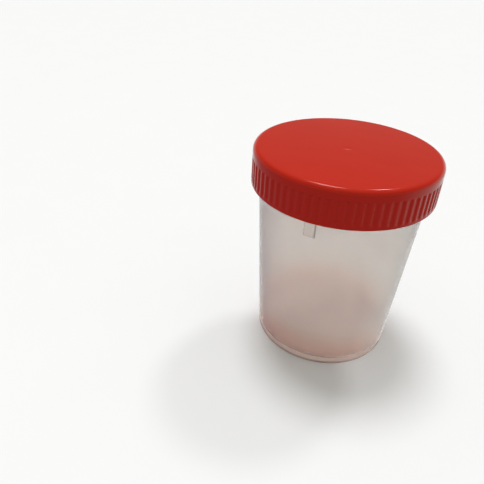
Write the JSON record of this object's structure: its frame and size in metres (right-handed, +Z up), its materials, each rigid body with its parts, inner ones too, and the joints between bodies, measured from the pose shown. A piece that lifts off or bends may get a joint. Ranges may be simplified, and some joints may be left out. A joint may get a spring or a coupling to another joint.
{
  "type": "urine specimen container",
  "caption": "Wide-mouth translucent urine specimen cup with a threaded neck and a red ribbed screw cap that holds a sealing disc.",
  "frame": {"origin": "centre of the cup's standing ring, on the plane that it stands on", "axes": "+Z up along the container's axis; the lug on the body faces -Y, the front; +X is to the right seen from the front"},
  "size_m": [0.062, 0.062, 0.0734],
  "materials": {
    "natural_polypropylene": "uncoloured moulded polypropylene, milky translucent, satin outside",
    "red_polyethylene": "red moulded polyethylene, opaque, low satin gloss",
    "white_foam": "white expanded polyethylene sheet, soft and matte"
  },
  "bodies": {
    "cup": {"cup": "natural_polypropylene"},
    "sealing_disc": {"sealing_disc": "white_foam"},
    "screw_cap": {"screw_cap": "red_polyethylene"}
  },
  "joints": [
    {"name": "disc_lift", "type": "slide", "parent": "cup", "child": "sealing_disc", "axis": [0, 0, 1], "range_m": [0, 0.01301]},
    {"name": "cap_turn", "type": "hinge", "parent": "sealing_disc", "child": "screw_cap", "pos_m": [0, 0, 0.0712], "axis": [0, 0, 1], "range_deg": [0, 1170]}
  ],
  "couplings": [
    {"joint": "disc_lift", "follows": "cap_turn", "m_per_rad": 0.00063662}
  ]
}
